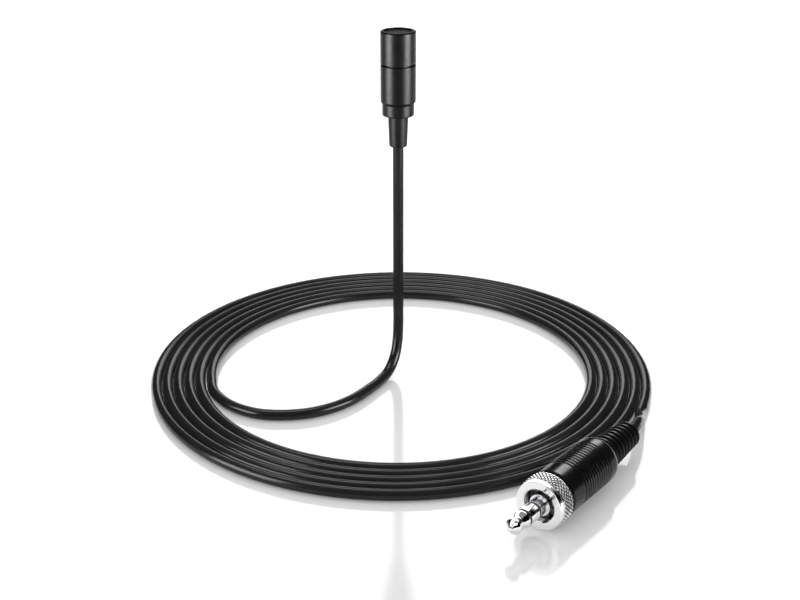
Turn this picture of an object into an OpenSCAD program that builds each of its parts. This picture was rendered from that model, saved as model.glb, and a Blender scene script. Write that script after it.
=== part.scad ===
// Lavalier microphone: a small condenser head on a thin cord, and a stereo jack plug
// with a captive knurled lock nut. The head stands on the Z axis, with the origin in the
// middle of the stretch that a clip grips. The cord hangs from the head's boot, lies on
// the surface below as a flat spiral and ends in the plug, which lies beside the coil.

/* [Head] */
// Outer diameter of the cap and body tube
head_d = 7.6; // [7.4:0.1:9]
// Wall of the cap and body tube
head_wall = 0.6; // [0.45:0.05:0.7]
// Length of the front cap
cap_len = 6.9; // [6.5:0.1:9]
// Radius of the rounding round the cap's rim
rim_round = 0.5; // [0.2:0.05:0.6]
// Width of the rim left round the mesh
rim_w = 0.85; // [0.75:0.05:1.1]
// Thickness of the rim over the mesh
rim_t = 0.35; // [0.25:0.05:0.6]
// Length of the body tube
tube_len = 8.3; // [7:0.1:12]
// Width of the shadow groove between cap and tube
groove_w = 0.35; // [0.2:0.05:0.6]

/* [Capsule] */
// Thickness of the grille mesh
mesh_t = 0.3; // [0.2:0.05:0.5]
// Diameter of one hole in the mesh
mesh_hole_d = 0.5; // [0.3:0.05:0.55]
// Distance between neighbouring holes in the mesh
mesh_pitch = 0.8; // [0.8:0.05:1]
// Thickness of the felt damping disc
cloth_t = 0.4; // [0.2:0.05:0.6]
// Wall of the rubber gasket between the capsule can and the cap
gasket_t = 0.31; // [0.25:0.02:0.45]
// Length of the capsule can
can_len = 3.4; // [3:0.1:3.6]
// Sheet thickness of the can
can_t = 0.2; // [0.12:0.02:0.24]
// Thickness of the back plate
plate_t = 0.3; // [0.2:0.05:0.5]
// Thickness of the capsule's circuit board
board_t = 0.4; // [0.3:0.05:0.6]

/* [Collar and boot] */
// Outer diameter of the rear collar
collar_d = 6.9; // [6.5:0.1:7.4]
// Length of the rear collar below the tube
collar_len = 2.6; // [2:0.1:4]
// Diameter of the boot where it leaves the collar
boot_d1 = 4.4; // [4:0.1:5]
// Diameter of the boot at its lower end
boot_d2 = 3.9; // [3.5:0.1:4]
// Length of the boot below the collar
boot_len = 6.9; // [5:0.1:9]

/* [Cord] */
// Outer diameter of the cord
cord_d = 2.4; // [2.2:0.05:2.4]
// Centre radius of the innermost loop at the left
coil_r = 43; // [42:0.5:50]
// Distance between neighbouring loops
coil_pitch = 2.45; // [2.45:0.05:3]
// Height of the clip seat above the surface that the coil lies on
stand_h = 67.5; // [66:0.5:80]

/* [Plug] */
// Diameter of the jack's shaft
jack_d = 3.5; // [3.4:0.05:3.6]
// Length of the shaft in front of its base collar
jack_len = 10; // [9.5:0.1:13]
// Diameter of the base collar that the nut turns on
base_d = 4.4; // [4.3:0.1:4.8]
// Diameter of the barrel
barrel_d = 9.8; // [9.6:0.1:11]
// Length of the barrel
barrel_len = 18.4; // [17.8:0.2:22]
// Wall of the barrel
barrel_wall = 1.2; // [1:0.1:1.4]
// Number of fine grip grooves round the barrel
grip_count = 12; // [6:1:14]
// Distance between the grip grooves
grip_pitch = 0.85; // [0.7:0.05:0.9]
// Depth of the grip grooves
grip_depth = 0.16; // [0.08:0.02:0.3]

/* [Lock nut] */
// Diameter of the nut over its knurl
nut_d = 10.2; // [9.8:0.1:10.6]
// Diameter of the smooth ring at the nut's front
nut_front_d = 9.9; // [9.4:0.1:10]
// Length of the nut
nut_len = 4.2; // [4:0.1:6]
// Length of the smooth front ring
nut_front_len = 1; // [0.8:0.1:1.4]
// Diameter of the nut's bore, over the crests of its thread
nut_bore_d = 6.4; // [6:0.1:6.6]
// Distance that the nut can slide along the plug
nut_float = 0.3; // [0.1:0.05:0.5]
// Number of flutes in the knurl
knurl_count = 36; // [24:2:40]
// Depth of the flutes
knurl_depth = 0.22; // [0.1:0.02:0.3]

/* [Strain relief] */
// Diameter of the first ring, next to the barrel
relief_d1 = 7.2; // [6.8:0.1:7.6]
// Diameter of the last ring
relief_d2 = 5.6; // [5.2:0.1:6]
// Number of rings
ring_count = 8; // [5:1:10]
// Distance between the rings
ring_pitch = 1.45; // [1.3:0.05:1.6]

/* [Hidden] */
$fn = 96;
eps = 0.01;

// Clearances
slip = 0.02;       // between pieces that are pressed or bonded together
run = 0.08;        // between pieces that turn or slide on each other
cord_gap = 0.05;   // round the cord where it passes through a rubber bore

// Head
head_r = head_d / 2;
bore_r = head_r - head_wall;
tube_edge = 0.4;   // bevel at the tube's lower end
fine_edge = 0.08;  // bevel at both sides of the shadow groove
tube_z0 = -tube_len / 2;
tube_z1 = tube_len / 2;
cap_z0 = tube_z1 + groove_w;
cap_z1 = cap_z0 + cap_len;
mesh_z = cap_z1 - rim_t - mesh_t;
cloth_z = mesh_z - cloth_t;
open_r = head_r - rim_w;
neck_r = bore_r - slip;
neck_wall = 0.72;
neck_bore_r = neck_r - neck_wall;

// Capsule, from the front down
can_r = bore_r - gasket_t - 2 * slip;
can_z1 = cloth_z;
can_z0 = can_z1 - can_len;
can_in_r = can_r - can_t;
stack_r = can_in_r - slip;
sound_hole_r = 0.9;
clamp_ring_t = 0.25;
film_t = 0.08;
spacer_t = 0.1;
ring_w = 0.4;      // radial width of the ring that holds the diaphragm
spacer_w = 0.3;
ring_z = can_z1 - can_t - clamp_ring_t;
film_z = ring_z - film_t;
spacer_z = film_z - spacer_t;
plate_r = stack_r - spacer_w - slip;
board_z = can_z0 + can_t;
board_top = board_z + board_t;
holder_h = spacer_z - board_top;
holder_wall = 0.72;
plate_hole_r = 0.25;
plate_hole_count = 6;
plate_hole_circle_r = 1.4;
contact_w = 0.3;
fet = [1.3, 0.9, 0.55];
fet_leg = [0.3, 0.18, 0.15];
chip = [1, 0.5, 0.4];
chip_y = 0.75;

// Collar, boot and the cord's end
collar_r = collar_d / 2;
collar_z = tube_z0 - collar_len;
collar_floor = 1;
collar_round = 0.3;
spigot_len = 2;
cavity_r = neck_r - 0.42;
boot_r1 = boot_d1 / 2;
boot_r2 = boot_d2 / 2;
boot_z = collar_z - boot_len;
boot_round = 0.4;
boot_flange_r = cavity_r - slip;
boot_flange_z = collar_z + collar_floor;
boot_flange_t = 0.8;
washer_t = 0.3;
washer_z = boot_flange_z + boot_flange_t;
ferrule_len = 1.5;
ferrule_wall = 0.45;
ferrule_z = washer_z + washer_t;
cord_r = cord_d / 2;
cord_hole_r = cord_r + cord_gap;
jacket_top = ferrule_z + ferrule_len + 0.3;
lead_r = 0.28;
lead_side = 0.62;  // from the cord's axis to each lead where it leaves the jacket
board_lead_x = 1.4;
lead_gap = 0.16;   // keeps a slanted lead's end clear of the flat face that it is soldered to

// Plug, on its own axis: the barrel's front face is at 0 and the tip points along +Z
jack_r = jack_d / 2;
base_r = base_d / 2;
barrel_r = barrel_d / 2;
barrel_bore_r = barrel_r - barrel_wall;
barrel_chamfer = 0.6;
barrel_round = 2.3;
barrel_back_wall = 2.4;
grip_z = 4.6;      // from the barrel's front face to the first groove
nut_gap = 0.2;     // from the barrel's front face to the nut
nut_z1 = nut_gap + nut_len;
base_z1 = nut_z1 - 0.3;
tip_z = base_z1 + jack_len;
tip_len = 4.4;
insulator_len = 0.5;
ring_len = 2.6;
ring_z1 = tip_z - tip_len - insulator_len;
ring_z0 = ring_z1 - ring_len;
sleeve_z1 = ring_z0 - insulator_len;
tip_z0 = tip_z - tip_len;
tip_edge = 0.1;
tip_land = 0.35;   // full-diameter stretch behind the waist
waist_r = jack_r - 0.45;
waist_z = tip_z0 + 1.5;
waist_len = 0.2;
shoulder_z = tip_z - 1.3;
shoulder_r = jack_r - 0.15;
nose_r = 0.8;
flange_t = 1.6;
flange_r = barrel_bore_r - slip;
tail_r = 2.25;
tail_z = -4.5;
pin_r = 0.45;
tip_tube_r = 0.75;
ring_tube_r = 1;
sleeve_bore_r = 1.27;
pin_end = -10;
tip_tube_end = -8.5;
ring_tube_end = -7;
sleeve_tube_end = -5.5;
lug_t = 0.3;
lug_w = 1.2;
ring_lug_rim = 0.6;   // width of the eye of each lug, and how far its arm reaches
ring_lug_reach = 2.9;
tip_lug_rim = 0.35;
tip_lug_reach = 2.4;
plug_jacket_z = -11.6;
crimp_len = 2;
crimp_wall = 0.35;
crimp_z = plug_jacket_z - 0.6 - crimp_len;
arm_w = 1.6;
arm_t = 0.45;
liner_wall = 0.3;
liner_gap = 0.05;

// Lock nut and its snap ring
nut_r = nut_d / 2;
nut_front_r = nut_front_d / 2;
nut_bore_r = nut_bore_d / 2;
nut_hole_r = base_r + run;
nut_back_t = 1;
nut_neck_w = 0.3;  // turned groove between the knurl and the front ring
nut_neck_depth = 0.3;
nut_lip = 0.25;    // bevel round the nut's front edge
snap_t = 0.45;
snap_bite = 0.2;   // depth of the nut's groove round the snap ring
snap_play = 0.05;
snap_z = nut_gap + nut_back_t + snap_play;
snap_r1 = nut_bore_r + snap_bite - snap_play;
base_groove_r = base_r - 0.22;
snap_r0 = base_groove_r + snap_play;
snap_gap = 1.4;

// Strain relief
relief_r1 = relief_d1 / 2;
relief_r2 = relief_d2 / 2;
relief_step = 0.5;
relief_web = 0.4;
relief_edge = 0.3;
relief_len = ring_count * ring_pitch;
relief_z = -barrel_len - relief_len;
relief_neck_r = 2.55;
relief_flange_t = 1;
relief_flange_z = barrel_back_wall - barrel_len;

// Surface and coil in the part's frame
floor_z = -stand_h;
cord_z = floor_z + cord_r;
coil_y = -2.5;
coil_start = 80;   // degrees round from the front, clockwise from above
coil_step = 15;
coil_steps = 134;
coil_end = coil_start + coil_step * coil_steps;
coil_tube_r = cord_r - 0.04;
coil_tuck = 0.2;   // the inner end is drawn in by this much, clear of the next loop
riser_sides = 8;
coil_sides = 6;

// Plug beside the coil's last loop, lying on the surface
plug_turn = 232.5; // degrees from +X to the way that the tip points
plug_side = 3.4;   // from the last loop out to the plug's axis
plug_lead = 1.2;   // from where the axis is nearest to the coil's centre to the last ring
plug_way = [cos(plug_turn), sin(plug_turn), 0];
plug_out = [-plug_way.y, plug_way.x, 0];
plug_at = [0, coil_y, floor_z + max(barrel_r, nut_r)]
    + (coil_r + coil_pitch * (coil_end - 90) / 360 + plug_side) * plug_out
    + (plug_lead + relief_len + barrel_len) * plug_way;

// Route of the free stretch, from below the boot to just before the coil. The third
// number is the height above that of a cord that lies on the surface.
riser_points = [
    [0, 0, 36], [0, 0, 24], [0, 0, 15], [0, -0.2, 10.5], [-0.2, -0.9, 6.3],
    [-0.9, -2.4, 2.8], [-2.3, -5.2, 0.6], [-4.3, -9, 0], [-6.8, -13.2, 0],
    [-10, -17.7, 0], [-14.2, -21.5, 0], [-19, -24, 0], [-24.3, -25, 0],
    [-29.5, -24.6, 0], [-34, -22.6, 0], [-37.8, -19.4, 0], [-40.6, -15.2, 0]
];
// Route of the short tail between the coil and the plug, with heights as above
tail_points = [[51.8, -26.9, 0.5], [51.1, -30.3, 1.8], [50.1, -33.9, 3.2]];

// ---- helpers ----

// Points of a quarter-circle from angle a0 to a1 about c, for a revolved outline
function arc(c, r, a0, a1, steps = 6) =
    [for (i = [0:steps]) c + r * [cos(a0 + (a1 - a0) * i / steps), sin(a0 + (a1 - a0) * i / steps)]];

function unit(v) = v / norm(v);

// One point of the smooth curve through p0..p3, a share t of the way from p1 to p2
function blend(p0, p1, p2, p3, t) =
    0.5 * (2 * p1 + (p2 - p0) * t + (2 * p0 - 5 * p1 + 4 * p2 - p3) * t * t
        + (3 * p1 - p0 - 3 * p2 + p3) * t * t * t);

// The smooth curve through all points, with n steps between neighbours
function smooth(p, n) = concat(
    [for (i = [0:len(p) - 2], k = [0:n - 1])
        blend(p[max(i - 1, 0)], p[i], p[i + 1], p[min(i + 2, len(p) - 1)], k / n)],
    [p[len(p) - 1]]);

// Directions along a path; the two ends follow the given directions
function headings(p, first, last) =
    [for (i = [0:len(p) - 1])
        i == 0 ? first : i == len(p) - 1 ? last : unit(unit(p[i + 1] - p[i]) + unit(p[i] - p[i - 1]))];

// A side direction for each ring, carried along the path without twist
function carried(t, start) =
    [for (i = 0, s = start; i < len(t);
        s = i + 1 < len(t) ? unit(s - (s * t[i + 1]) * t[i + 1]) : s, i = i + 1) s];

// Surface points of a round tube: one ring of points for each point of the path
function rings(p, t, side, r, sides, turn) =
    [for (i = [0:len(p) - 1])
        let (u = side[i], v = cross(t[i], u))
        [for (k = [0:sides - 1]) p[i] + r * (cos(turn + 360 * k / sides) * u + sin(turn + 360 * k / sides) * v)]];

// A closed tube through the given rings
module tube(ring_list) {
    n = len(ring_list);
    m = len(ring_list[0]);
    skin = [for (i = [0:n - 2], k = [0:m - 1], half = [0, 1])
        let (a = i * m + k, b = i * m + (k + 1) % m)
        half == 0 ? [a, a + m, b] : [b, a + m, b + m]];
    ends = [[for (k = [0:m - 1]) k], [for (k = [m - 1:-1:0]) (n - 1) * m + k]];
    polyhedron([for (ring = ring_list) each ring], concat(skin, ends), convexity = 10);
}

// Ring of rectangular section
module washer(r0, r1, z, h) {
    translate([0, 0, z]) difference() {
        cylinder(r = r1, h = h);
        translate([0, 0, -eps]) cylinder(r = r0, h = h + 2 * eps);
    }
}

// Round rod between two points
module rod(a, b, r) {
    d = b - a;
    translate(a) rotate([0, acos(d.z / norm(d)), atan2(d.y, d.x)])
        cylinder(r = r, h = norm(d), $fn = 24);
}

// Places a piece of the plug in the part's frame
module on_plug() {
    translate(plug_at) rotate([0, 90, plug_turn]) children();
}

// ---- microphone head ----

module front_cap() {
    color("#1c1c1e") rotate_extrude() polygon(concat(
        [[bore_r, cap_z0], [head_r - fine_edge, cap_z0], [head_r, cap_z0 + fine_edge]],
        arc([head_r - rim_round, cap_z1 - rim_round], rim_round, 0, 90),
        [[open_r, cap_z1], [open_r, cap_z1 - rim_t], [bore_r, cap_z1 - rim_t]]));
}

module grille_mesh() {
    rows = ceil(open_r / mesh_pitch);
    row_h = mesh_pitch * sin(60);
    color("#55565a") difference() {
        translate([0, 0, mesh_z]) cylinder(r = bore_r - slip, h = mesh_t);
        for (j = [-rows:rows], i = [-rows:rows]) {
            x = (i + (j % 2 == 0 ? 0 : 0.5)) * mesh_pitch;
            y = j * row_h;
            if (norm([x, y]) < open_r - mesh_hole_d / 2 - 0.1)
                translate([x, y, mesh_z - eps]) cylinder(d = mesh_hole_d, h = mesh_t + 2 * eps, $fn = 16);
        }
    }
}

module damping_cloth() {
    color("#2b2b2d") translate([0, 0, cloth_z]) cylinder(r = bore_r - 2 * slip, h = cloth_t);
}

module capsule_gasket() {
    color("#202022") washer(can_r + slip, bore_r - slip, can_z0, can_len - 0.4);
}

module capsule_can() {
    color("#b9bcc0") rotate_extrude() polygon([
        [sound_hole_r, can_z1], [can_r - can_t, can_z1], [can_r, can_z1 - can_t],
        [can_r, can_z0 + can_t], [can_r - can_t, can_z0], [can_in_r - 0.45, can_z0],
        [can_in_r - 0.45, board_z], [can_in_r, board_z],
        [can_in_r, can_z1 - can_t], [sound_hole_r, can_z1 - can_t]]);
}

module diaphragm_ring() {
    color("#c9a24a") washer(stack_r - ring_w, stack_r, ring_z, clamp_ring_t);
}

module diaphragm() {
    color("#d8c48a") translate([0, 0, film_z]) cylinder(r = stack_r, h = film_t);
}

module spacer_washer() {
    color("#e8e4d8") washer(stack_r - spacer_w, stack_r, spacer_z, spacer_t);
}

module back_plate() {
    color("#c8a860") difference() {
        translate([0, 0, spacer_z - plate_t]) cylinder(r = plate_r, h = plate_t);
        for (i = [0:plate_hole_count - 1])
            rotate([0, 0, 360 * i / plate_hole_count])
                translate([plate_hole_circle_r, 0, spacer_z - plate_t - eps])
                    cylinder(r = plate_hole_r, h = plate_t + 2 * eps, $fn = 16);
    }
}

module plate_holder() {
    color("#e9e7e0") rotate_extrude() polygon([
        [stack_r, board_top], [stack_r, spacer_z], [plate_r + slip, spacer_z],
        [plate_r + slip, spacer_z - plate_t], [stack_r - holder_wall, spacer_z - plate_t],
        [stack_r - holder_wall, board_top]]);
}

module contact_ring() {
    contact_r = stack_r - holder_wall - slip;
    color("#d0a850") washer(contact_r - contact_w, contact_r, board_top, holder_h - plate_t);
}

module gate_transistor() {
    color("#18181a") {
        translate([-fet.x / 2, -fet.y / 2, board_top]) cube(fet);
        for (leg = [[-1, -0.3], [-1, 0.3], [1, 0]])
            translate([leg.x * (fet.x + fet_leg.x) / 2 - fet_leg.x / 2, leg.y - fet_leg.y / 2, board_top])
                cube(fet_leg);
    }
}

module capsule_board() {
    color("#2e6b3c") translate([0, 0, board_z]) cylinder(r = stack_r, h = board_t);
}

module filter_capacitors() {
    color("#a08868") for (side = [-1, 1])
        translate([-chip.x / 2, side * chip_y - chip.y / 2, board_z - chip.z]) cube(chip);
}

module body_tube() {
    slope_z = tube_z1 - 0.3;
    color("#1c1c1e") rotate_extrude() polygon([
        [bore_r, tube_z0], [head_r - tube_edge, tube_z0], [head_r, tube_z0 + tube_edge],
        [head_r, tube_z1 - fine_edge], [head_r - fine_edge, tube_z1], [neck_r, tube_z1],
        [neck_r, can_z0], [neck_bore_r, can_z0], [neck_bore_r, slope_z],
        [bore_r, slope_z - (bore_r - neck_bore_r)]]);
}

module rear_collar() {
    hole_r = boot_r1 + cord_gap;
    color("#1c1c1e") rotate_extrude() polygon(concat(
        [[hole_r, collar_z]],
        arc([collar_r - collar_round, collar_z + collar_round], collar_round, -90, 0),
        [[collar_r, tube_z0], [neck_r, tube_z0], [neck_r, tube_z0 + spigot_len],
            [cavity_r, tube_z0 + spigot_len], [cavity_r, boot_flange_z], [hole_r, boot_flange_z]]));
}

module mic_boot() {
    color("#232325") rotate_extrude() polygon(concat(
        [[cord_hole_r, boot_z]],
        arc([boot_r2 - boot_round, boot_z + boot_round], boot_round, -90, 0),
        [[boot_r1, collar_z], [boot_r1, boot_flange_z], [boot_flange_r, boot_flange_z],
            [boot_flange_r, washer_z], [cord_hole_r, washer_z]]));
}

module boot_washer() {
    color("#b0894a") washer(cord_hole_r, boot_flange_r, washer_z, washer_t);
}

module cord_ferrule() {
    color("#b9bcc0") washer(cord_r + slip, cord_r + ferrule_wall, ferrule_z, ferrule_len);
}

module head_jacket_end() {
    color("#242426") translate([0, 0, boot_z]) cylinder(r = cord_r, h = jacket_top - boot_z);
}

module head_leads() {
    z0 = jacket_top + lead_gap;
    z1 = board_z - lead_gap;
    color("#b03030") rod([lead_side, 0, z0], [board_lead_x, 0, z1], lead_r);
    color("#e0e0e0") rod([-lead_side, 0, z0], [-board_lead_x, 0, z1], lead_r);
}

// ---- cord ----

// Centre of the coil's cord, at an angle in degrees round from the front
function coil_point(a) =
    let (tuck = coil_tuck * max(0, 1 - (a - coil_start) / coil_step),
        r = coil_r + coil_pitch * (a - 90) / 360 - tuck)
    [-r * sin(a), coil_y - r * cos(a), cord_z];
function coil_heading(a) = [-cos(a), sin(a), 0];

// Route points in the part's frame
function lifted(p) = [for (q = p) q + [0, 0, cord_z]];

module cord_riser() {
    top = [0, 0, boot_z];
    join = coil_point(coil_start);
    into = coil_heading(coil_start);
    p = concat(
        [top, top - [0, 0, cord_d]],
        smooth(concat([top - [0, 0, 2 * cord_d]], lifted(riser_points), [join - cord_d * into]), 2),
        [join]);
    t = headings(p, [0, 0, -1], into);
    color("#242426") tube(rings(p, t, carried(t, [1, 0, 0]), cord_r, riser_sides, 22.5));
}

// The coil's rings stand in radial planes, so neighbouring loops keep one distance
coil_rings = [for (i = [0:coil_steps])
    let (a = coil_start + coil_step * i, c = coil_point(a), out = [-sin(a), -cos(a), 0])
    [for (k = [0:coil_sides - 1])
        c + coil_tube_r * (cos(30 + 60 * k) * out + sin(30 + 60 * k) * [0, 0, 1])]];
loop_steps = 360 / coil_step;
coil_gap = min([for (i = [0:coil_steps - loop_steps], k = [0:coil_sides - 1], j = [0:coil_sides - 1])
    norm(coil_rings[i + loop_steps][k] - coil_rings[i][j])]);
echo("least gap between the coil's loops, mm", coil_gap * cos(coil_step / 2));

module cord_coil() {
    color("#242426") tube(coil_rings);
}

module cord_tail() {
    join = plug_at + relief_z * plug_way;
    from = coil_point(coil_end);
    out = coil_heading(coil_end);
    p = concat(
        [from],
        smooth(concat([from + cord_d * out], lifted(tail_points), [join - cord_d * plug_way]), 3),
        [join]);
    t = headings(p, out, plug_way);
    color("#242426") tube(rings(p, t, carried(t, [0, 0, 1]), cord_r, riser_sides, 22.5));
}

// ---- plug ----

module strain_relief() {
    flange_r0 = barrel_bore_r - slip;
    color("#1b1b1d") on_plug() rotate_extrude() polygon(concat(
        [[cord_hole_r, relief_z]],
        [for (i = [0:ring_count - 1])
            let (
                r = relief_r2 + (relief_r1 - relief_r2) * i / (ring_count - 1),
                z0 = relief_z + ring_pitch * i,
                z1 = z0 + ring_pitch - relief_web)
            each [[r - relief_edge, z0], [r, z0 + relief_edge], [r, z1 - relief_edge],
                [r - relief_edge, z1], [r - relief_step, z1], [r - relief_step, z1 + relief_web]]],
        [[relief_neck_r, -barrel_len], [relief_neck_r, relief_flange_z], [flange_r0, relief_flange_z],
            [flange_r0, relief_flange_z + relief_flange_t],
            [cord_hole_r, relief_flange_z + relief_flange_t]]));
}

module plug_barrel() {
    color("#1b1b1d") on_plug() rotate_extrude() polygon(concat(
        [[barrel_bore_r, 0], [barrel_bore_r, relief_flange_z], [relief_neck_r + slip, relief_flange_z],
            [relief_neck_r + slip, -barrel_len]],
        arc([barrel_r - barrel_round, barrel_round - barrel_len], barrel_round, -90, 0),
        [for (i = [grip_count - 1:-1:0])
            let (z = -grip_z - grip_pitch * i)
            each [[barrel_r, z - 0.4 * grip_pitch], [barrel_r - grip_depth, z - 0.2 * grip_pitch],
                [barrel_r - grip_depth, z], [barrel_r, z + 0.2 * grip_pitch]]],
        [[barrel_r, -barrel_chamfer], [barrel_r - barrel_chamfer, 0]]));
}

module plug_sleeve() {
    groove_z0 = snap_z - snap_play;
    groove_z1 = snap_z + snap_t + nut_float + snap_play;
    color("#d8d9dc") on_plug() rotate_extrude() polygon([
        [sleeve_bore_r, tail_z], [tail_r, tail_z], [tail_r, -flange_t], [flange_r, -flange_t],
        [flange_r, 0], [base_r, 0], [base_r, groove_z0], [base_groove_r, groove_z0],
        [base_groove_r, groove_z1], [base_r, groove_z1], [base_r, base_z1 - 0.15],
        [base_r - 0.15, base_z1], [jack_r, base_z1], [jack_r, sleeve_z1], [sleeve_bore_r, sleeve_z1]]);
}

module sleeve_insulator() {
    color("#101012") on_plug() rotate_extrude() polygon([
        [ring_tube_r + slip, sleeve_tube_end], [sleeve_bore_r - slip, sleeve_tube_end],
        [sleeve_bore_r - slip, sleeve_z1], [jack_r - slip, sleeve_z1],
        [jack_r - slip, ring_z0], [ring_tube_r + slip, ring_z0]]);
}

module ring_contact() {
    color("#d8d9dc") on_plug() rotate_extrude() polygon([
        [tip_tube_r + slip, ring_tube_end], [ring_tube_r, ring_tube_end], [ring_tube_r, ring_z0],
        [jack_r, ring_z0], [jack_r, ring_z1], [tip_tube_r + slip, ring_z1]]);
}

module tip_insulator() {
    color("#101012") on_plug() rotate_extrude() polygon([
        [pin_r + slip, tip_tube_end], [tip_tube_r, tip_tube_end], [tip_tube_r, ring_z1],
        [jack_r - slip, ring_z1], [jack_r - slip, tip_z0], [pin_r + slip, tip_z0]]);
}

module tip_contact() {
    color("#d8d9dc") on_plug() rotate_extrude() polygon(concat(
        [[0, pin_end], [pin_r, pin_end], [pin_r, tip_z0], [jack_r - tip_edge, tip_z0],
            [jack_r, tip_z0 + tip_edge], [jack_r, tip_z0 + tip_land],
            [waist_r, waist_z], [waist_r, waist_z + waist_len],
            [shoulder_r - tip_edge, shoulder_z - tip_edge], [shoulder_r, shoulder_z],
            [shoulder_r - tip_edge, shoulder_z + tip_edge]],
        arc([0, tip_z - nose_r], nose_r, 45, 90)));
}

module solder_lugs() {
    color("#c9cbd0") on_plug() {
        difference() {
            union() {
                translate([0, 0, ring_tube_end]) cylinder(r = ring_tube_r + ring_lug_rim, h = lug_t);
                translate([-lug_w / 2, 0, ring_tube_end]) cube([lug_w, ring_lug_reach, lug_t]);
            }
            translate([0, 0, ring_tube_end - eps]) cylinder(r = ring_tube_r + slip, h = lug_t + 2 * eps);
        }
        difference() {
            union() {
                translate([0, 0, pin_end]) cylinder(r = pin_r + tip_lug_rim, h = lug_t);
                translate([-lug_w / 2, -tip_lug_reach, pin_end]) cube([lug_w, tip_lug_reach, lug_t]);
            }
            translate([0, 0, pin_end - eps]) cylinder(r = pin_r + slip, h = lug_t + 2 * eps);
        }
    }
}

module crimp_clamp() {
    arm_x = tail_r;
    color("#c9cbd0") on_plug() difference() {
        union() {
            translate([0, 0, crimp_z]) cylinder(r = cord_r + crimp_wall, h = crimp_len);
            translate([0, -arm_w / 2, crimp_z + crimp_len - arm_t]) cube([arm_x + arm_t, arm_w, arm_t]);
            translate([arm_x, -arm_w / 2, crimp_z + crimp_len - arm_t])
                cube([arm_t, arm_w, -flange_t - crimp_z - crimp_len + arm_t]);
        }
        translate([0, 0, crimp_z - eps]) cylinder(r = cord_r + slip, h = crimp_len + 2 * eps);
    }
}

module plug_liner() {
    liner_r = barrel_bore_r - liner_gap;
    liner_z = relief_flange_z + relief_flange_t;
    color("#d6cfa8") on_plug() washer(liner_r - liner_wall, liner_r, liner_z, -flange_t - liner_z);
}

module plug_jacket_end() {
    color("#242426") on_plug() translate([0, 0, relief_z])
        cylinder(r = cord_r, h = plug_jacket_z - relief_z);
}

module plug_leads() {
    z = plug_jacket_z + lead_gap;
    y = lead_side;
    color("#b03030") on_plug() rod([0, -y, z], [0, 1 - tip_lug_reach, pin_end - lead_gap], lead_r);
    color("#e0e0e0") on_plug() rod([0, y, z], [0, ring_lug_reach - y, ring_tube_end - lead_gap], lead_r);
}

// ---- lock nut ----

module snap_ring() {
    color("#9a9ca0") on_plug() difference() {
        washer(snap_r0, snap_r1, snap_z, snap_t);
        translate([0, -snap_gap / 2, snap_z - eps]) cube([nut_r, snap_gap, snap_t + 2 * eps]);
    }
}

module lock_nut() {
    front_z = nut_z1 - nut_front_len;
    knurl_z1 = front_z - nut_neck_w;
    turned_r = nut_front_r - nut_neck_depth;
    groove_r = nut_bore_r + snap_bite;
    color("#d8d9dc") on_plug() difference() {
        rotate_extrude() polygon([
            [nut_hole_r, nut_gap], [nut_r - 0.2, nut_gap], [nut_r, nut_gap + 0.2],
            [nut_r, knurl_z1 - 0.2], [nut_r - 0.2, knurl_z1], [turned_r, knurl_z1], [turned_r, front_z],
            [nut_front_r, front_z], [nut_front_r, nut_z1 - nut_lip],
            [nut_front_r - nut_lip, nut_z1], [nut_bore_r + nut_lip, nut_z1],
            [nut_bore_r, nut_z1 - nut_lip], [nut_bore_r, snap_z + snap_t + snap_play],
            [groove_r, snap_z + snap_t + snap_play], [groove_r, snap_z - snap_play],
            [nut_hole_r, snap_z - snap_play]]);
        for (i = [0:knurl_count - 1])
            rotate([0, 0, 360 * i / knurl_count]) translate([nut_r, 0, nut_gap - eps])
                cylinder(r = knurl_depth, h = knurl_z1 - nut_gap + nut_neck_w / 2, $fn = 4);
    }
}

front_cap();
grille_mesh();
damping_cloth();
capsule_gasket();
capsule_can();
diaphragm_ring();
diaphragm();
spacer_washer();
back_plate();
plate_holder();
contact_ring();
gate_transistor();
capsule_board();
filter_capacitors();
body_tube();
rear_collar();
mic_boot();
boot_washer();
cord_ferrule();
head_jacket_end();
head_leads();
cord_riser();
cord_coil();
cord_tail();
strain_relief();
plug_barrel();
plug_sleeve();
sleeve_insulator();
ring_contact();
tip_insulator();
tip_contact();
solder_lugs();
crimp_clamp();
plug_liner();
plug_jacket_end();
plug_leads();
snap_ring();
lock_nut();
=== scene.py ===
import bpy
import numpy as np
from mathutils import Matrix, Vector


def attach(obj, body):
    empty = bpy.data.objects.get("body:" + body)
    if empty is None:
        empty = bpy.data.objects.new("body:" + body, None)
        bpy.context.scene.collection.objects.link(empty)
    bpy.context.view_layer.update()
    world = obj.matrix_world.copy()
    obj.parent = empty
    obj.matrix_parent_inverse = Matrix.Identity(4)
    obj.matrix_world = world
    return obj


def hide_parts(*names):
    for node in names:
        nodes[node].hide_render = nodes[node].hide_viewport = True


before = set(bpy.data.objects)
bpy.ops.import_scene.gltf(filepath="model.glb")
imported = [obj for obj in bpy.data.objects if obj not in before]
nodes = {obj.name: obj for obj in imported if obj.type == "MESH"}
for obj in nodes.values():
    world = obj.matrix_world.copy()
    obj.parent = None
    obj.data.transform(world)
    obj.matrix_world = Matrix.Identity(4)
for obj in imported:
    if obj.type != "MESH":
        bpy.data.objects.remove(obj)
scene = bpy.context.scene
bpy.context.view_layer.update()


# ---- camera ----
# A short telephoto lens a little over a quarter of a metre away, some six centimetres above
# the head and tilted down to the table. The whole coil and the plug are in view.
lens_mm, film_mm = 58.5, 36
eye = (0.00039, -0.27217, 0.06804)
tilt = 66.532

camera = bpy.data.objects.new("camera", bpy.data.cameras.new("camera"))
scene.collection.objects.link(camera)
camera.data.lens, camera.data.sensor_width = lens_mm, film_mm
camera.data.clip_start, camera.data.clip_end = 0.01, 20
camera.location = eye
camera.rotation_euler = (np.radians(tilt), 0, 0)
scene.camera = camera


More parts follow.
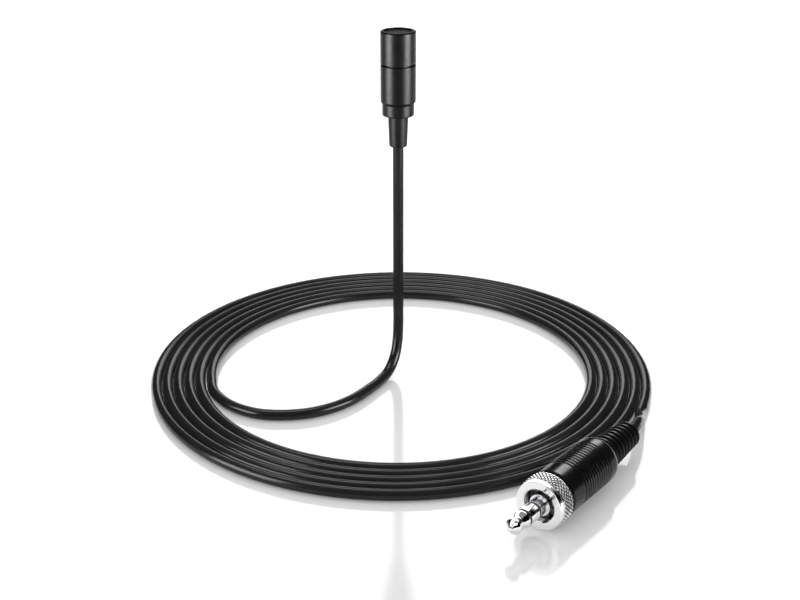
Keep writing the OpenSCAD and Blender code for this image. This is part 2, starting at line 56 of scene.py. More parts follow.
# ---- cord ----
# A thin round cord: a soft extruded jacket over two leads and a spun shield. It drops from
# the head's boot, lies on the table as a flat spiral of five and a half loops, and climbs
# into the plug. All sizes of the pieces are in millimetres.
cord_d = 2.4
table_z = -67.5
rest_z = table_z + cord_d / 2
boot_end = -13.65


def eased_line(points, n=8):
    """The smooth curve through all points: between two of them runs the cubic that leaves
    and arrives at half the step between its neighbours, with n parts to each."""
    p = np.asarray(points, float)
    i = np.arange(len(p) - 1)
    p0, p1, p2, p3 = (p[np.clip(i + k, 0, len(p) - 1)][:, None] for k in (-1, 0, 1, 2))
    t = (np.arange(n) / n)[None, :, None]
    line = 0.5 * (2 * p1 + (p2 - p0) * t + (2 * p0 - 5 * p1 + 4 * p2 - p3) * t**2
                  + (3 * p1 - p0 - 3 * p2 + p3) * t**3)
    return np.concatenate([line.reshape(-1, p.shape[1]), p[-1:]])


# The coil: its radius grows by one pitch in each full turn, and its first few degrees are
# tucked in under the stretch that leads to it. Angles are in degrees.
coil_from, coil_to, coil_step = 80, 2090, 3.75
coil_r0, coil_pitch, coil_y = 43, 2.45, -2.5
tuck_by, tuck_over = 0.2, 15
coil_turn = np.arange(coil_from, coil_to + 0.01, coil_step)
tuck = tuck_by * np.clip(1 - (coil_turn - coil_from) / tuck_over, 0, 1)
coil_r = coil_r0 + coil_pitch * (coil_turn - 90) / 360 - tuck
coil_a = np.radians(coil_turn)
coil_line = np.stack([-coil_r * np.sin(coil_a), coil_y - coil_r * np.cos(coil_a),
                      0 * coil_a + rest_z], 1)

riser_line = eased_line([
    [0, 0, boot_end + 0.1], [0, 0, boot_end - 2.4], [0, 0, boot_end - 4.8],
    [0, 0, -30.3], [0, 0, -42.3], [0, 0, -51.3], [0, -0.2, -55.8], [-0.2, -0.9, -60],
    [-0.9, -2.4, -63.5], [-2.3, -5.2, -65.7], [-4.3, -9, rest_z], [-6.8, -13.2, rest_z],
    [-10, -17.7, rest_z], [-14.2, -21.5, rest_z], [-19, -24, rest_z], [-24.3, -25, rest_z],
    [-29.5, -24.6, rest_z], [-34, -22.6, rest_z], [-37.8, -19.4, rest_z],
    [-40.6, -15.2, rest_z], [-41.68, -12.2, rest_z], coil_line[0]])

# The middle of the barrel's front face, the way that the plug points, and how far behind
# that face its strain relief and the cord's jacket end.
plug_at = np.array([28.61666, -63.78507, -62.4])
plug_turn = np.radians(232.5)
plug_way = np.array([np.cos(plug_turn), np.sin(plug_turn), 0])
plug_out = np.array([-plug_way[1], plug_way[0], 0])
relief_len, jacket_len = 30, 11.6
relief_end = plug_at - relief_len * plug_way
tail_line = eased_line([
    coil_line[-1], coil_line[-1] + [-0.821, -2.255, 0], [51.8, -26.9, -65.8],
    [51.1, -30.3, -64.5], [50.1, -33.9, -63.1], relief_end - 2.4 * plug_way, relief_end,
    plug_at - 24 * plug_way, plug_at - jacket_len * plug_way])
cord_line = np.concatenate([riser_line[:-1], coil_line, tail_line[1:]])


def skin(name, grid, ends=(None, None), looped=False):
    """A closed mesh over a grid of points in millimetres: its rows follow each other and
    its columns close round. The last row joins the first where looped. Otherwise each end
    is closed by a fan to the end's own point, or to the middle of its row. The map runs
    once round the columns, and in metres along the rows."""
    rows, cols = grid.shape[:2]
    verts = grid.reshape(-1, 3)
    j = np.arange(cols)
    k = (j + 1) % cols
    low = (np.arange(rows if looped else rows - 1) * cols)[:, None]
    high = (low + cols) % (rows * cols)
    quads = np.stack([low + j, low + k, high + k, high + j], -1).reshape(-1, 4)
    steps = np.linalg.norm(np.diff(grid[:, 0], axis=0), axis=1)
    along = np.concatenate([[0], np.cumsum(steps)])
    v0 = np.repeat(along[:len(low)], cols)
    v1 = np.repeat(np.roll(along, -1)[:len(low)], cols)
    u0, u1 = np.tile(j / cols, len(low)), np.tile((j + 1) / cols, len(low))
    uv = [np.stack([u0, v0, u1, v0, u1, v1, u0, v1], 1).reshape(-1, 2)]
    fans = []
    if not looped:
        tips = [grid[e].mean(0) if tip is None else np.asarray(tip, float)
                for e, tip in zip((0, -1), ends)]
        verts = np.concatenate([verts, tips])
        last = (rows - 1) * cols
        fans = [np.stack([k, j, 0 * j + rows * cols], 1),
                np.stack([last + j, last + k, 0 * j + rows * cols + 1], 1)]
        uv += [np.stack([j / cols, 0 * j + v, (j + 1) / cols, 0 * j + v, (j + 0.5) / cols,
                         0 * j + v], 1).reshape(-1, 2) for v in (along[0], along[-1])]
    tris = np.concatenate([quads[:, :3], quads[:, [0, 2, 3]], *fans])
    a, b, c = (verts[tris[:, n]] for n in range(3))
    faces = [quads, *fans]
    if np.einsum("ij,ij->", a, np.cross(b, c)) < 0:
        faces = [part[:, ::-1] for part in faces]
        uv = [part.reshape(-1, n, 2)[:, ::-1].reshape(-1, 2) for part, n in zip(uv, (4, 3, 3))]
    mesh = bpy.data.meshes.new(name)
    mesh.from_pydata((verts * 0.001).tolist(), [], sum((part.tolist() for part in faces), []))
    uv = np.concatenate(uv) * [1, 0.001]
    mesh.uv_layers.new(name="UVMap").data.foreach_set("uv", uv.ravel())
    mesh.shade_smooth()
    piece = bpy.data.objects.new(name, mesh)
    scene.collection.objects.link(piece)
    return piece


def tube_round(line, radius, sides=24):
    """Rings of points round a line. A ring's first direction is level and square to the
    way that the line runs in plan; where it runs upright, the next level way is kept."""
    way = np.gradient(line, axis=0)
    level = np.linalg.norm(way[:, :2], axis=1) > 0.03 * np.linalg.norm(way, axis=1)
    plan = way[np.where(level, np.arange(len(line)), np.argmax(level))] * [1, 1, 0]
    way = way / np.linalg.norm(way, axis=1, keepdims=True)
    side = np.stack([plan[:, 1], -plan[:, 0], 0 * plan[:, 0]], 1)
    side /= np.linalg.norm(side, axis=1, keepdims=True)
    over = np.cross(side, way)
    over /= np.linalg.norm(over, axis=1, keepdims=True)
    a = np.linspace(0, 2 * np.pi, sides, endpoint=False)[None, :, None]
    return line[:, None] + radius * (np.cos(a) * side[:, None] + np.sin(a) * over[:, None])


def finish_of(name, colour=None, rough=None, metal=0.0, shine=0.5, coat=0.0):
    """The material of a finish, with the values that are the same all over. The colour and
    the roughness that aren't given are mottled afterwards."""
    mat = bpy.data.materials.new(name)
    mat.use_nodes = True
    mat.node_tree.nodes.new("ShaderNodeTexCoord")
    value = mat.node_tree.nodes["Principled BSDF"].inputs
    if colour is not None:
        value["Base Color"].default_value = (*colour, 1)
    if rough is not None:
        value["Roughness"].default_value = rough
    value["Metallic"].default_value = metal
    value["Specular IOR Level"].default_value = shine
    value["Coat Weight"].default_value = coat
    return mat


def noise_in(mat, scale, detail):
    """The output of a noise texture of the given scale and detail on object coordinates."""
    tree = mat.node_tree
    noise = tree.nodes.new("ShaderNodeTexNoise")
    noise.inputs["Scale"].default_value = scale
    noise.inputs["Detail"].default_value = detail
    place = tree.nodes["Texture Coordinate"].outputs["Object"]
    tree.links.new(place, noise.inputs["Vector"])
    return noise.outputs["Fac"]


def mottle(mat, socket, scale, low, high, detail=4.0):
    """Cloudy noise of the given scale, spread from the low to the high value or colour, and
    led to the shader's socket. The socket's own value is set to their middle."""
    tree = mat.node_tree
    target = tree.nodes["Principled BSDF"].inputs[socket]
    noise = noise_in(mat, scale, detail)
    noise_low, noise_high = 0.3, 0.7
    if isinstance(low, tuple):
        ramp = tree.nodes.new("ShaderNodeValToRGB")
        first, last = ramp.color_ramp.elements
        first.position, last.position = noise_low, noise_high
        first.color, last.color = (*low, 1), (*high, 1)
        target.default_value = (*((np.array(low) + high) / 2).tolist(), 1)
        tree.links.new(noise, ramp.inputs["Fac"])
        tree.links.new(ramp.outputs["Color"], target)
        return
    spread = tree.nodes.new("ShaderNodeMapRange")
    spread.inputs["From Min"].default_value = noise_low
    spread.inputs["From Max"].default_value = noise_high
    spread.inputs["To Min"].default_value = low
    spread.inputs["To Max"].default_value = high
    target.default_value = (low + high) / 2
    tree.links.new(noise, spread.inputs["Value"])
    tree.links.new(spread.outputs["Result"], target)


def grained(mat, scale, strength, reach):
    """Fine grain: noise of the given scale raises the surface by at most the reach, in
    millimetres."""
    tree = mat.node_tree
    bump = tree.nodes.new("ShaderNodeBump")
    bump.inputs["Strength"].default_value = strength
    bump.inputs["Distance"].default_value = reach * 0.001
    tree.links.new(noise_in(mat, scale, 3), bump.inputs["Height"])
    tree.links.new(bump.outputs["Normal"], tree.nodes["Principled BSDF"].inputs["Normal"])


jacket = finish_of("cord_jacket", shine=0.2)
mottle(jacket, "Base Color", 160, (0.013, 0.013, 0.0135), (0.018, 0.018, 0.0185))
mottle(jacket, "Roughness", 420, 0.18, 0.24)
grained(jacket, 5200, 0.25, 0.012)

cord = skin("cord", tube_round(cord_line, cord_d / 2))
cord.data.materials.append(jacket)
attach(cord, "microphone")
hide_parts("cord_riser", "cord_coil", "cord_tail", "plug_jacket_end")


# ---- front cap ----
# A short black-coated metal cup pushed over the body's neck. Its front rim is rounded and
# turned in over the mesh.
head_r, bore_r = 3.8, 3.2
cap_z0, cap_z1 = 4.5, 11.4
lip_r, lip_t = 2.95, 0.35


def rounded(outline, radius, steps=5):
    """The closed outline of (radius, height) points with each corner turned through a curve
    that starts and ends at most the given radius from the corner. One more point is left
    just outside each curve, so that flat stretches shade flat."""
    p = np.asarray(outline, float)
    back, on = np.roll(p, 1, 0) - p, np.roll(p, -1, 0) - p
    lb, lo = (np.linalg.norm(v, axis=1, keepdims=True) for v in (back, on))
    reach = np.minimum(np.broadcast_to(np.asarray(radius, float), len(p))[:, None],
                       0.42 * np.minimum(lb, lo))
    start, end = p + back / lb * reach, p + on / lo * reach
    t = np.linspace(0, 1, steps)[None, :, None]
    curve = (1 - t)**2 * start[:, None] + 2 * t * (1 - t) * p[:, None] + t**2 * end[:, None]
    early, late = start + back / lb * 0.15 * reach, end + on / lo * 0.15 * reach
    return np.concatenate([early[:, None], curve, late[:, None]], 1).reshape(-1, 2)


def lathed(r, z, cols, axes=np.eye(3), foot=(0, 0, 0)):
    """Rows of points turned round an axis: (r cos a, r sin a, z) for the angles a of the
    columns. The rows of axes are the piece's own directions, and foot is where z is 0."""
    a = np.linspace(0, 2 * np.pi, cols, endpoint=False)[None, :]
    grid = np.stack([r * np.cos(a), r * np.sin(a), z + 0 * a], -1)
    return grid @ np.asarray(axes) + np.asarray(foot)


def turned(name, outline, cols=128, axes=np.eye(3), foot=(0, 0, 0)):
    """A ring or sleeve turned on a lathe: the closed outline of (radius, height) points runs
    once round its axis."""
    p = np.asarray(outline, float)
    return skin(name, lathed(p[:, :1], p[:, 1:], cols, axes, foot), looped=True)


def wear(piece, *cad, slot, mat, body="microphone"):
    """Puts the finish on a piece and sets it in the place of its nodes."""
    piece.data.materials.append(mat)
    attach(piece, body)
    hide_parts(*cad)
    return piece


coated = finish_of("black_coating", shine=0.12)
mottle(coated, "Base Color", 300, (0.0015, 0.0015, 0.002), (0.003, 0.003, 0.0035))
mottle(coated, "Roughness", 700, 0.31, 0.40)
grained(coated, 9000, 0.2, 0.008)

cap_outline = rounded([
    [head_r, cap_z0], [head_r, cap_z1], [lip_r, cap_z1], [lip_r, cap_z1 - lip_t],
    [bore_r, cap_z1 - lip_t], [bore_r, cap_z0]], [0.08, 0.55, 0.1, 0.04, 0.04, 0.04])
wear(turned("cap_shell", cap_outline), "front_cap", slot="head_metal", mat=coated)


# ---- grille mesh ----
# A thin disc of darkened steel, punched with rows of small round holes. It is laid in the
# cap from behind and held under the rim.
punched = finish_of("dark_steel", rough=0.42, metal=0.7)
mottle(punched, "Base Color", 900, (0.035, 0.035, 0.037), (0.075, 0.075, 0.078))
grained(punched, 6000, 0.3, 0.01)


def dress(mat, *cad):
    """Gives nodes that stay as they are the finish of the real piece."""
    for name in cad:
        nodes[name].data.materials.clear()
        nodes[name].data.materials.append(mat)


dress(punched, "grille_mesh")


# ---- damping disc, gasket and capsule ----
# Felt behind the mesh, then the capsule in its rubber gasket: a drawn can over a gilt ring
# with the film, a washer, the gilt back plate in its white holder, and a contact ring that
# stands on the circuit board with its transistor and two capacitors.
felt = finish_of("grey_felt", rough=0.95, shine=0.1)
mottle(felt, "Base Color", 2500, (0.015, 0.015, 0.016), (0.06, 0.06, 0.062), 8)
grained(felt, 4500, 0.9, 0.06)
dress(felt, "damping_cloth")

rubber = finish_of("matt_rubber", shine=0.12)
mottle(rubber, "Base Color", 240, (0.0035, 0.0035, 0.004), (0.006, 0.006, 0.0065))
mottle(rubber, "Roughness", 600, 0.36, 0.46)
grained(rubber, 7000, 0.35, 0.012)
dress(rubber, "capsule_gasket")

drawn = finish_of("drawn_aluminium", (0.62, 0.63, 0.65), metal=1.0)
mottle(drawn, "Roughness", 500, 0.24, 0.4)
grained(drawn, 3000, 0.2, 0.006)
dress(drawn, "capsule_can")

gilt = finish_of("gilt_brass", metal=1.0)
mottle(gilt, "Base Color", 420, (0.70, 0.48, 0.19), (0.84, 0.62, 0.30))
mottle(gilt, "Roughness", 900, 0.2, 0.34)
dress(gilt, "diaphragm_ring", "back_plate", "contact_ring", "boot_washer")

film = finish_of("gold_film", (0.80, 0.66, 0.36), metal=0.9)
mottle(film, "Roughness", 260, 0.08, 0.2)
grained(film, 700, 0.15, 0.01)
dress(film, "diaphragm")

milky = finish_of("milky_plastic", rough=0.45, shine=0.4)
mottle(milky, "Base Color", 380, (0.74, 0.72, 0.66), (0.84, 0.82, 0.77))
grained(milky, 4000, 0.2, 0.008)
dress(milky, "spacer_washer", "plate_holder")

board = finish_of("green_board", rough=0.3, coat=0.4)
mottle(board, "Base Color", 1400, (0.012, 0.12, 0.045), (0.03, 0.20, 0.08), 2)
dress(board, "capsule_board")

chip = finish_of("black_epoxy", (0.018, 0.018, 0.020), shine=0.3)
mottle(chip, "Roughness", 3000, 0.5, 0.7)
grained(chip, 9000, 0.4, 0.01)
dress(chip, "gate_transistor")

fired = finish_of("fired_ceramic", rough=0.5, shine=0.3)
mottle(fired, "Base Color", 2600, (0.34, 0.23, 0.13), (0.47, 0.34, 0.21))
dress(fired, "filter_capacitors")


# ---- body tube ----
# The longer half of the head, plain outside because the clip grips it. Its neck goes up
# into the cap, and a dark gap is left between the two.
tube_z0, tube_z1 = -4.15, 4.15
foot_r, foot_rise = 3.4, 0.4
neck_r0, neck_r, neck_top = 2.46, 3.18, 6.95
seat_z0, seat_z1 = 3.11, 3.85

tube_outline = rounded([
    [bore_r, tube_z0], [foot_r, tube_z0], [head_r, tube_z0 + foot_rise], [head_r, tube_z1],
    [neck_r, tube_z1], [neck_r, neck_top], [neck_r0, neck_top], [neck_r0, seat_z1],
    [bore_r, seat_z0]], [0.05, 0.15, 0.3, 0.08, 0.05, 0.08, 0.05, 0.1, 0.1])
wear(turned("body_shell", tube_outline), "body_tube", slot="head_metal", mat=coated)


# ---- rear collar ----
# A slightly narrower ring with the same coating. Its neck is pressed into the tube, and its
# floor traps the boot's flange.
collar_r, collar_bore, floor_bore = 3.45, 2.76, 2.25
collar_z0, collar_z1, floor_top = -6.75, -2.15, -5.75

collar_outline = rounded([
    [floor_bore, collar_z0], [collar_r, collar_z0], [collar_r, tube_z0], [neck_r, tube_z0],
    [neck_r, collar_z1], [collar_bore, collar_z1], [collar_bore, floor_top],
    [floor_bore, floor_top]], [0.1, 0.32, 0.03, 0.03, 0.05, 0.05, 0.05, 0.05])
wear(turned("collar_ring", collar_outline), "rear_collar", slot="head_metal", mat=coated)


# ---- boot ----
# Soft moulded rubber, a little tapered and rounded at its lower end, that keeps the cord
# from kinking at the head. A brass washer, a crimped ferrule and the cord's end sit above.
cord_bore = cord_d / 2 + 0.05
boot_r0, boot_r1, flange_r, flange_top = 1.95, 2.2, 2.74, -4.95

boot_outline = rounded([
    [cord_bore, boot_end], [boot_r0, boot_end], [boot_r1, collar_z0], [boot_r1, floor_top],
    [flange_r, floor_top], [flange_r, flange_top], [cord_bore, flange_top]],
    [0.1, 0.6, 0.05, 0.1, 0.05, 0.1, 0.05])
wear(turned("boot_moulding", boot_outline), "mic_boot", slot="black_rubber", mat=rubber)

tinned = finish_of("tinned_sheet", (0.66, 0.67, 0.68), metal=1.0)
mottle(tinned, "Roughness", 800, 0.22, 0.42)
grained(tinned, 2500, 0.25, 0.01)
dress(tinned, "cord_ferrule")

dress(jacket, "head_jacket_end")

lead = finish_of("lead_insulation", rough=0.45)
mottle(lead, "Base Color", 700, (0.36, 0.04, 0.035), (0.50, 0.07, 0.055))
dress(lead, "head_leads")


# ---- strain relief ----
# A moulded rubber sleeve in eight rounded rings on a thin core, tapered away from the
# plug, so that the cord bends evenly where it goes in. Its flange sits inside the barrel.
plug_axes = np.array([[0, 0, -1], plug_out, plug_way])
ring_count, ring_pitch, ring_rise = 8, 1.45, 0.55
ring_r0, ring_r1 = 2.8, 3.6
relief_neck, relief_flange = 2.55, 3.68
barrel_back, barrel_floor, relief_front = -18.4, -16, -15


def bellows(rings, pitch, r_last, r_first, rise, foot):
    """The outline of rounded rings on a core: each ring is a half wave of the sine, raised
    from the core to the ring's own radius, and they grow evenly from the last to the first."""
    i = np.arange(rings)[:, None]
    t = np.linspace(0, 1, 13)[None, :]
    radius = r_last + (r_first - r_last) * i / (rings - 1)
    wave = np.clip(1.25 * np.sin(np.pi * np.clip(t / 0.78, 0, 1)), 0, 1) ** 0.8
    r = radius - rise + rise * wave
    z = foot + pitch * (i + t * 0.98)
    return np.stack([r, z + 0 * r], -1).reshape(-1, 2)


rings = bellows(ring_count, ring_pitch, ring_r0, ring_r1, ring_rise, -relief_len)
relief_outline = np.concatenate([
    [[cord_bore, 0.05 - relief_len], [cord_bore + 0.05, -relief_len], [2.0, -relief_len]],
    rings[1:],
    rounded([[relief_neck, barrel_back], [relief_neck, barrel_floor],
             [relief_flange, barrel_floor], [relief_flange, relief_front],
             [cord_bore, relief_front]], 0.06)])
wear(turned("relief_moulding", relief_outline, 96, plug_axes, plug_at), "strain_relief",
     slot="black_rubber", mat=rubber)


# ---- plug barrel ----
# A coated metal sleeve, chamfered in front and rounded behind, with twelve fine grip
# grooves turned round its middle.
barrel_r, barrel_bore, relief_bore = 4.9, 3.7, 2.57
groove_count, groove_pitch, groove_first, groove_depth = 12, 0.85, -4.3, 0.12
back_round, front_chamfer = 2.3, 0.6


def grooved(count, pitch, first, r, depth):
    """The outline of fine grooves: the radius dips by the depth along a rounded wave once
    in each pitch."""
    t = np.linspace(0, count, count * 12 + 1)
    dip = depth * np.clip(1.5 * np.sin(np.pi * t)**2 - 0.35, 0, 1)
    return np.stack([r - dip, first - pitch * count + pitch * t], 1)


def stretch(outline, radius, steps=5):
    """The rounded corners of an open outline, without its two end points."""
    return rounded(outline, radius, steps)[steps + 2:-steps - 2]


anodised = finish_of("barrel_coating", shine=0.18)
mottle(anodised, "Base Color", 300, (0.004, 0.004, 0.0045), (0.007, 0.007, 0.0075))
mottle(anodised, "Roughness", 700, 0.21, 0.28)
grained(anodised, 9000, 0.2, 0.006)

turn = np.linspace(0, np.pi / 2, 17)[1:]
barrel_outline = np.concatenate([
    stretch([[barrel_bore, -8], [barrel_bore, barrel_floor], [relief_bore, barrel_floor],
             [relief_bore, barrel_back], [4, barrel_back]], 0.05),
    np.array([barrel_r - back_round, barrel_back + back_round])
    + back_round * np.stack([np.sin(turn), -np.cos(turn)], 1),
    grooved(groove_count, groove_pitch, groove_first, barrel_r, groove_depth),
    stretch([[barrel_r, -3], [barrel_r, -front_chamfer], [barrel_r - front_chamfer, 0],
             [barrel_bore, 0], [barrel_bore, -3]], 0.25)])
wear(turned("barrel_shell", barrel_outline, 128, plug_axes, plug_at), "plug_barrel",
     slot="barrel_metal", mat=anodised)


# ---- jack ----
# Nickel-plated brass: a sleeve with the collar that the nut turns on, a ring and a waisted
# tip, with two black plastic rings between them. Their tails in the barrel carry solder lugs
# and leads, and a crimp clamp and a card liner lie round them.
jack_r, plastic_r = 1.75, 1.73
base_r, seat_r, snap_r = 3.68, 2.2, 1.98
snap_z0, snap_z1, seat_top = 1.2, 2.05, 4.1
sleeve_end, ring_foot, ring_end, tip_foot, tip_end = 6.1, 6.6, 9.2, 9.7, 14.1
jack_cols = 96

nickel = finish_of("nickel_plate", metal=1.0)
mottle(nickel, "Base Color", 350, (0.74, 0.74, 0.75), (0.84, 0.84, 0.85))
mottle(nickel, "Roughness", 1100, 0.10, 0.2)
grained(nickel, 5200, 0.06, 0.004)

sleeve_outline = rounded([
    [1.27, -4.5], [2.25, -4.5], [2.25, -1.6], [base_r, -1.6], [base_r, 0], [seat_r, 0],
    [seat_r, snap_z0], [snap_r, snap_z0], [snap_r, snap_z1], [seat_r, snap_z1],
    [seat_r, seat_top], [jack_r, seat_top], [jack_r, sleeve_end], [1.27, sleeve_end]],
    [.04, .05, .05, .05, .05, .05, .04, .04, .04, .04, .15, .06, .05, .03])
wear(turned("sleeve_contact", sleeve_outline, jack_cols, plug_axes, plug_at), "plug_sleeve",
     slot="nickel", mat=nickel)

ring_outline = rounded([
    [0.77, -7], [1, -7], [1, ring_foot], [jack_r, ring_foot], [jack_r, ring_end],
    [0.77, ring_end]], [.02, .03, .03, .05, .05, .02])
wear(turned("ring_band", ring_outline, jack_cols, plug_axes, plug_at), "ring_contact",
     slot="nickel", mat=nickel)

ebony = finish_of("black_insulation", (0.010, 0.010, 0.011), shine=0.35)
mottle(ebony, "Roughness", 1200, 0.25, 0.4)
for name, cad, outline in (
        ("rear_insulation", "sleeve_insulator",
         [[1.02, -5.5], [1.25, -5.5], [1.25, sleeve_end], [plastic_r, sleeve_end],
          [plastic_r, ring_foot], [1.02, ring_foot]]),
        ("front_insulation", "tip_insulator",
         [[0.47, -8.5], [0.75, -8.5], [0.75, ring_end], [plastic_r, ring_end],
          [plastic_r, tip_foot], [0.47, tip_foot]])):
    wear(turned(name, rounded(outline, 0.02), jack_cols, plug_axes, plug_at), cad,
         slot="ring_plastic", mat=ebony)

nose_r = 0.95
nose = np.linspace(np.radians(47), np.radians(88), 10)
tip_side = np.concatenate([
    [[0.45, -10], [0.45, 9.6], [0.46, tip_foot], [1.6, tip_foot], [1.68, 9.72], [1.74, 9.78],
     [jack_r, 9.85], [jack_r, 10.02]],
    eased_line([[1.74, 10.1], [1.58, 10.5], [1.36, 11.02], [1.3, 11.3], [1.33, 11.5],
                [1.46, 12.1], [1.57, 12.6], [1.6, 12.8], [1.56, 12.98], [1.18, 13.4],
                [0.7, 13.8]], 6),
    np.stack([nose_r * np.cos(nose), tip_end - nose_r + nose_r * np.sin(nose)], 1)])
tip_grid = lathed(tip_side[:, :1], tip_side[:, 1:], jack_cols, plug_axes, plug_at)
wear(skin("tip_pin", tip_grid, (None, plug_at + tip_end * plug_way)), "tip_contact",
     slot="nickel", mat=nickel)

dress(tinned, "solder_lugs", "crimp_clamp")
dress(lead, "plug_leads")

card = finish_of("card_liner", rough=0.7, shine=0.25)
mottle(card, "Base Color", 900, (0.60, 0.52, 0.33), (0.71, 0.64, 0.44), 8)
grained(card, 3500, 0.4, 0.015)
dress(card, "plug_liner")

spring = finish_of("spring_steel", (0.38, 0.38, 0.40), metal=1.0)
mottle(spring, "Roughness", 900, 0.22, 0.4)
dress(spring, "snap_ring")


# ---- lock nut ----
# A nickel-plated nut that turns and slides a little on the sleeve's collar, kept by the
# snap ring. Diamond knurl outside, a smooth ring in front, and a fine thread in its bore.
nut_cols = 400
knurl_r, knurl_depth, knurl_around, knurl_rise = 5.1, 0.26, 38, 0.84
thread_r, thread_depth, thread_pitch = 3.2, 0.22, 0.5
front_r, neck_of_nut, nut_front = 4.95, 4.65, 4.4


def knurled(z, a, r, depth, around, rise):
    """Rows of small pyramids: two sets of slanted grooves cross, and the radius dips
    towards whichever groove is nearer."""
    u = around * a / (2 * np.pi) + z / rise
    v = around * a / (2 * np.pi) - z / rise
    groove = np.maximum(np.abs(2 * (u % 1) - 1), np.abs(2 * (v % 1) - 1))
    return r - depth * np.clip(1.5 * groove - 0.5, 0, 1)


def threaded(z, a, r, depth, pitch):
    """A screw thread in a bore: the radius grows by the depth in an even ridge once in each
    pitch, and the ridge climbs by one pitch in a full turn."""
    return r + depth * (1 - np.abs(2 * ((z / pitch - a / (2 * np.pi)) % 1) - 1))


# Bright nickel on the crests, and near black painted shade in the knurl's grooves and the
# thread's hollows.
crest, painted_hollow_shade = (0.92, 0.92, 0.93), (0.04, 0.04, 0.045)
plated = finish_of("knurled_nickel", crest, metal=1.0)
tree = plated.node_tree
sunk = tree.nodes.new("ShaderNodeAttribute")
sunk.attribute_name = "sunk"
hollow_shade_ramp = tree.nodes.new("ShaderNodeValToRGB")
first, last = hollow_shade_ramp.color_ramp.elements
first.color, last.color = (*crest, 1), (*painted_hollow_shade, 1)
first.position, last.position = 0.25, 0.65
tree.links.new(sunk.outputs["Fac"], hollow_shade_ramp.inputs["Fac"])
tree.links.new(hollow_shade_ramp.outputs["Color"], tree.nodes["Principled BSDF"].inputs["Base Color"])
mottle(plated, "Roughness", 1100, 0.12, 0.22)
grained(plated, 5200, 0.06, 0.004)

# The nut's section in five bands, as radius and height: the foot, the knurl, the front
# ring, the thread, and the room for the snap ring.
nut_a = np.linspace(0, 2 * np.pi, nut_cols, endpoint=False)[None, :]
foot, front, room = (rounded(outline, radius) for outline, radius in (
    ([[2.28, 1.2], [2.28, 0.2], [4.88, 0.2], [4.92, 0.38]], [.04, .05, .2, .02]),
    ([[4.9, 3.0], [4.86, 3.1], [neck_of_nut, 3.12], [neck_of_nut, 3.38], [front_r, 3.42],
      [front_r, nut_front], [3.45, nut_front], [thread_r, 4.12]],
     [.01, .02, .02, .03, .08, .2, .15, .05]),
    ([[thread_r, 1.7], [3.4, 1.7], [3.4, 1.2]], [.02, .03, .03])))
knurl_z = np.linspace(0.4, 2.98, 61)[:, None]
thread_z = np.linspace(3.95, 1.75, 67)[:, None]
bands = [
    (foot[:, :1], foot[:, 1:]),
    (knurled(knurl_z, nut_a, knurl_r, knurl_depth, knurl_around, knurl_rise), knurl_z),
    (front[:, :1], front[:, 1:]),
    (threaded(thread_z, nut_a, thread_r, thread_depth, thread_pitch), thread_z),
    (room[:, :1], room[:, 1:])]
nut_r, nut_z = (np.concatenate([band[n] + 0 * nut_a for band in bands]) for n in (0, 1))
nut = wear(skin("nut_body", lathed(nut_r, nut_z, nut_cols, plug_axes, plug_at), looped=True),
           "lock_nut", slot="nickel", mat=plated, body="nut")
# How far each point of the knurl and the thread lies in towards the axis, from 0 to 1. The
# colour darkens with it to near black: painted shade in the grooves and hollows.
depth = [(r.max() - r) / (r.max() - r.min()) if r.shape[1] > 1 else 0 * (r + nut_a)
         for r, z in bands]
nut.data.attributes.new("sunk", "FLOAT", "POINT").data.foreach_set(
    "value", np.concatenate(depth).ravel())


# ---- floor and light ----
# A white, slightly glossy table top under a wide soft light, with white all round that only
# the camera sees. The other lights are soft boxes that show as gloss on the pieces that
# they are set for, and walls that the table and the nickel mirror.
edge, top = 1.1, table_z * 0.001
table_mesh = bpy.data.meshes.new("table_top")
table_mesh.from_pydata([(-edge, -edge, top), (edge, -edge, top), (edge, edge, top),
                        (-edge, edge, top)], [], [(0, 1, 2, 3)])
table_top = bpy.data.objects.new("table_top", table_mesh)
scene.collection.objects.link(table_top)
white = finish_of("white_table", (0.85, 0.85, 0.85), shine=0.8)
mottle(white, "Roughness", 3, 0.08, 0.12)
table_mesh.materials.append(white)


def soft_box(name, size, power, place, aim, gloss=True, shade=True, only=()):
    """A flat light of the given size in metres and power in watts that faces its aim. Where
    pieces are named, it shows on them alone, and only as gloss. Without gloss it isn't
    mirrored, and without shade it throws no shadows."""
    lamp = bpy.data.lights.new(name, "AREA")
    lamp.shape, lamp.size, lamp.size_y, lamp.energy = "RECTANGLE", *size, power
    lamp.use_shadow = shade
    box = bpy.data.objects.new(name, lamp)
    scene.collection.objects.link(box)
    box.visible_camera, box.visible_diffuse, box.visible_glossy = False, not only, gloss
    box.location = place
    box.rotation_euler = (Vector(place) - Vector(aim)).to_track_quat("Z", "Y").to_euler()
    if only:
        lit = bpy.data.collections.new(name + "_lights")
        for piece in only:
            lit.objects.link(bpy.data.objects[piece])
        box.light_linking.receiver_collection = lit


table_mid, head_mid, riser_mid = (0, 0.3, -0.0675), (0, 0, -0.002), (0, 0, -0.04)
barrel_mid, nose_mid = (0.035, -0.055, -0.062), (0.03, -0.07, -0.06)
soft_box("table_box", (10, 10), 285, (0, 0.3, 1.3), table_mid, gloss=False, shade=False)
soft_box("top_box", (1.6, 1.6), 2.5, (0, 0.4, 1.0), table_mid)

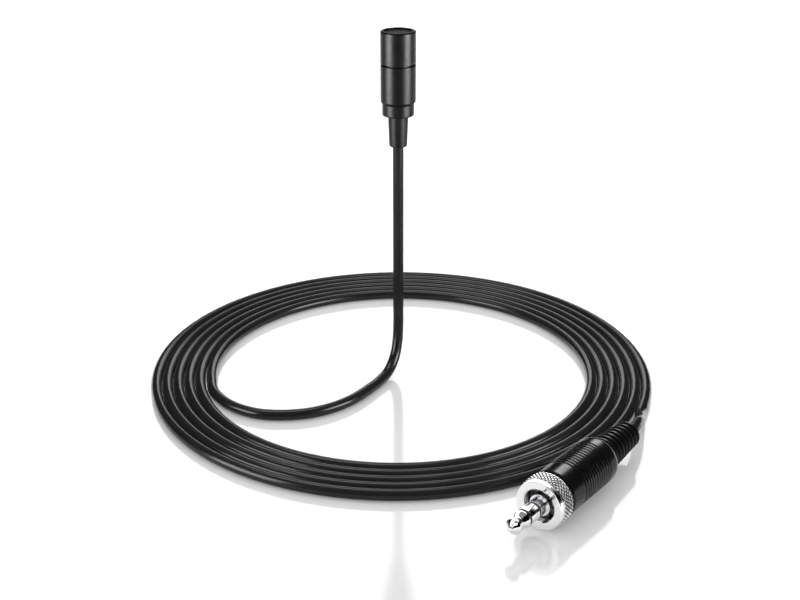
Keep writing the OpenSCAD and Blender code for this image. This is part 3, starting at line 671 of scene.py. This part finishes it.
# Bands down both sides of the head, and faint ones down the hanging cord.
head = ("cap_shell", "body_shell", "collar_ring", "boot_moulding")
side_size = (0.12, 0.13)
left, right = (-0.182, -0.105, -0.002), (0.186, -0.098, -0.002)
soft_box("left_box", side_size, 2, left, head_mid, only=head)
soft_box("right_box", side_size, 2, right, head_mid, only=head)
soft_box("left_side", side_size, 0.6, left, riser_mid, only=["cord"])
soft_box("right_side", side_size, 0.9, right, riser_mid, only=["cord"])

# Thin lines along the loops of the cord, the barrel and the rings of the relief.
soft_box("cord_strip", (0.165, 0.09), 0.16, (0.0095, 0.27, 0.06), (0, 0, -0.066),
         only=["cord"])
soft_box("cord_crown", (0.15, 0.06), 0.2, (-0.04, 0.05, 0.15), (-0.025, -0.025, -0.066),
         only=["cord"])
soft_box("plug_strip", (0.22, 0.22), 1.8, (0.19, 0.40, 0.295), barrel_mid,
         only=["barrel_shell"])
soft_box("relief_strip", (0.22, 0.22), 3, (0.157, 0.433, 0.265), barrel_mid,
         only=["relief_moulding"])

# Walls round the table, two boxes for the nickel, and a low one behind the cap's rim.
metal = ("nut_body", "sleeve_contact", "ring_band", "tip_pin")
wall_size, wall_aim = (3, 1.3), (0, 0, 0.2)
soft_box("back_wall", wall_size, 42, (0, 1.2, 0.58), wall_aim, only=["table_top", *metal])
for name, spot in (("left_wall", (-1.2, 0, 0.58)), ("right_wall", (1.2, 0, 0.58)),
                   ("front_wall", (0, -1.2, 0.58))):
    soft_box(name, wall_size, 22, spot, wall_aim, only=["table_top"])
soft_box("metal_box", (0.9, 0.9), 4, (-0.7, -0.3, 0.8), (0.03, -0.06, -0.06), only=metal)
soft_box("nose_box", (0.5, 0.3), 0.9, (-0.12, -0.75, 0.45), nose_mid, only=metal)
soft_box("rim_box", (0.3, 0.12), 0.14, (0, 0.6, 0.16), (0, 0, 0.011),
         only=["cap_shell", "grille_mesh"])

world = bpy.data.worlds.new("studio")
scene.world = world
world.use_nodes = True
world.node_tree.nodes["Background"].inputs["Color"].default_value = (1, 1, 1, 1)
world.node_tree.nodes["Background"].inputs["Strength"].default_value = 1
world.cycles_visibility.diffuse = world.cycles_visibility.glossy = False
scene.view_settings.view_transform = "Standard"
